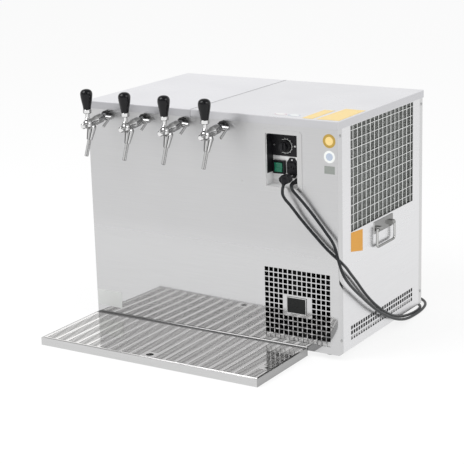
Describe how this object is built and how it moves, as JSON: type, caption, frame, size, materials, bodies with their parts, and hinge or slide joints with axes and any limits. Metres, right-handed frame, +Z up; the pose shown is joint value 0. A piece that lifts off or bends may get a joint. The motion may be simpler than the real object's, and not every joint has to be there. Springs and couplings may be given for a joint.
{
  "type": "jockey box beer cooler",
  "caption": "Stainless counter-top beer cooler: cabinet with a row of taps, a control recess, vents, a meshed side opening, drop handles and a loose slotted drip tray in front.",
  "frame": {"origin": "on the counter, under the middle of the cooler's outline measured without its mains lead and plug", "axes": "+X to the right seen from the front, along the row of taps; +Y from the taps to the back; +Z up"},
  "size_m": [0.7752, 0.8018, 0.6473],
  "materials": {
    "steel_mirror": "bright polished stainless sheet",
    "steel_brushed": "fine brushed stainless sheet",
    "steel_plain": "plain mill-finish stainless sheet",
    "tray_steel": "bright rolled stainless",
    "steel_tube": "drawn stainless tube and rod",
    "mesh_wire": "bright expanded mesh",
    "fin_aluminium": "dull close-set fins",
    "fan_aluminium": "stamped, unpainted",
    "copper": "drawn copper tube",
    "tap_chrome": "polished chrome plate",
    "handle_chrome": "satin chrome plate",
    "screw_steel": "bright screw heads",
    "grip_black": "glossy black moulding",
    "nut_plastic": "dark fluted moulding",
    "black_plastic": "black moulding",
    "green_plastic": "translucent green rocker",
    "fitting_plastic": "pale grey moulding",
    "foam": "rigid pale foam",
    "foot_rubber": "black rubber",
    "lead_rubber": "black flexible sheath",
    "black_enamel": "black enamel",
    "badge_face": "dark face with a pale frame"
  },
  "bodies": {
    "cabinet": {"base_pan": "steel_plain", "feet": "foot_rubber", "front_panel": "steel_mirror", "back_panel": "steel_plain", "right_side_panel": "steel_brushed", "left_side_panel": "steel_brushed", "lid_right": "steel_brushed", "partition": "steel_plain", "bath_tank": "steel_plain", "tank_insulation": "foam", "beer_coils": "steel_tube", "evaporator_coil": "copper", "agitator_motor": "black_enamel", "compressor": "black_enamel", "side_grille": "mesh_wire", "condenser_core": "fin_aluminium", "fan_shroud": "steel_plain", "fan_motor": "black_enamel", "control_recess": "steel_mirror", "thermostat_plate": "black_plastic", "control_screws": "screw_steel", "switch_bezel": "black_plastic", "outlet_socket": "black_plastic", "cable_gland": "black_plastic", "mains_plug": "black_plastic", "mains_lead": "lead_rubber", "badge_plate": "badge_face", "panel_screws": "screw_steel", "right_handle_plate": "handle_chrome", "left_handle_plate": "handle_chrome", "coupling_nuts": "nut_plastic", "tap_spouts": "tap_chrome", "inlet_fittings": "fitting_plastic", "tap_body_1": "tap_chrome", "tap_body_2": "tap_chrome", "tap_body_3": "tap_chrome", "tap_body_4": "tap_chrome"},
    "left_lid": {"lid_left": "steel_brushed"},
    "knob": {"thermostat_knob": "black_plastic"},
    "rocker": {"rocker_switch": "green_plastic"},
    "right_bail": {"right_handle_bail": "handle_chrome"},
    "left_bail": {"left_handle_bail": "handle_chrome"},
    "fan": {"condenser_fan": "fan_aluminium"},
    "stirrer": {"agitator_shaft": "steel_tube"},
    "tray": {"drip_tray_pan": "tray_steel"},
    "grille": {"drip_grille": "tray_steel"},
    "lever_1": {"tap_lever_1": "tap_chrome", "grip_1": "grip_black"},
    "compensator_1": {"compensator_lever_1": "tap_chrome"},
    "lever_2": {"tap_lever_2": "tap_chrome", "grip_2": "grip_black"},
    "compensator_2": {"compensator_lever_2": "tap_chrome"},
    "lever_3": {"tap_lever_3": "tap_chrome", "grip_3": "grip_black"},
    "compensator_3": {"compensator_lever_3": "tap_chrome"},
    "lever_4": {"tap_lever_4": "tap_chrome", "grip_4": "grip_black"},
    "compensator_4": {"compensator_lever_4": "tap_chrome"}
  },
  "joints": [
    {"name": "left_lid_lift", "type": "slide", "parent": "cabinet", "child": "left_lid", "axis": [0, 0, 1], "range_m": [0, 0.25]},
    {"name": "tray_pull", "type": "slide", "parent": "cabinet", "child": "tray", "axis": [0, -1, 0], "range_m": [0, 0.3]},
    {"name": "grille_lift", "type": "slide", "parent": "tray", "child": "grille", "axis": [0, 0, 1], "range_m": [0, 0.15]},
    {"name": "knob_turn", "type": "hinge", "parent": "cabinet", "child": "knob", "pos_m": [0.2087, -0.0945, 0.5212], "axis": [0, 1, 0], "range_deg": [0, 270]},
    {"name": "rocker_tilt", "type": "hinge", "parent": "cabinet", "child": "rocker", "pos_m": [0.1905, -0.0959, 0.468], "axis": [1, 0, 0], "range_deg": [0, 14]},
    {"name": "right_bail_swing", "type": "hinge", "parent": "cabinet", "child": "right_bail", "pos_m": [0.378, 0.1155, 0.29], "axis": [0, -1, 0], "range_deg": [0, 90]},
    {"name": "left_bail_swing", "type": "hinge", "parent": "cabinet", "child": "left_bail", "pos_m": [-0.378, 0.1155, 0.29], "axis": [0, 1, 0], "range_deg": [0, 90]},
    {"name": "fan_spin", "type": "hinge", "parent": "cabinet", "child": "fan", "pos_m": [0.318, 0.1145, 0.446], "axis": [1, 0, 0], "continuous": true},
    {"name": "stirrer_spin", "type": "hinge", "parent": "cabinet", "child": "stirrer", "pos_m": [-0.118, 0.2645, 0.45], "axis": [0, 0, 1], "continuous": true},
    {"name": "tap_lever_1_pull", "type": "hinge", "parent": "cabinet", "child": "lever_1", "pos_m": [-0.305, -0.2125, 0.55677], "axis": [1, 0, 0], "range_deg": [-3, 25]},
    {"name": "compensator_1_turn", "type": "hinge", "parent": "cabinet", "child": "compensator_1", "pos_m": [-0.2832, -0.1455, 0.56405], "axis": [1, 0, 0], "range_deg": [-60, 50]},
    {"name": "tap_lever_2_pull", "type": "hinge", "parent": "cabinet", "child": "lever_2", "pos_m": [-0.186, -0.2125, 0.55677], "axis": [1, 0, 0], "range_deg": [-3, 25]},
    {"name": "compensator_2_turn", "type": "hinge", "parent": "cabinet", "child": "compensator_2", "pos_m": [-0.1642, -0.1455, 0.56405], "axis": [1, 0, 0], "range_deg": [-60, 50]},
    {"name": "tap_lever_3_pull", "type": "hinge", "parent": "cabinet", "child": "lever_3", "pos_m": [-0.067, -0.2125, 0.55677], "axis": [1, 0, 0], "range_deg": [-3, 25]},
    {"name": "compensator_3_turn", "type": "hinge", "parent": "cabinet", "child": "compensator_3", "pos_m": [-0.0452, -0.1455, 0.56405], "axis": [1, 0, 0], "range_deg": [-60, 50]},
    {"name": "tap_lever_4_pull", "type": "hinge", "parent": "cabinet", "child": "lever_4", "pos_m": [0.052, -0.2125, 0.55677], "axis": [1, 0, 0], "range_deg": [-3, 25]},
    {"name": "compensator_4_turn", "type": "hinge", "parent": "cabinet", "child": "compensator_4", "pos_m": [0.0738, -0.1455, 0.56405], "axis": [1, 0, 0], "range_deg": [-60, 50]}
  ]
}
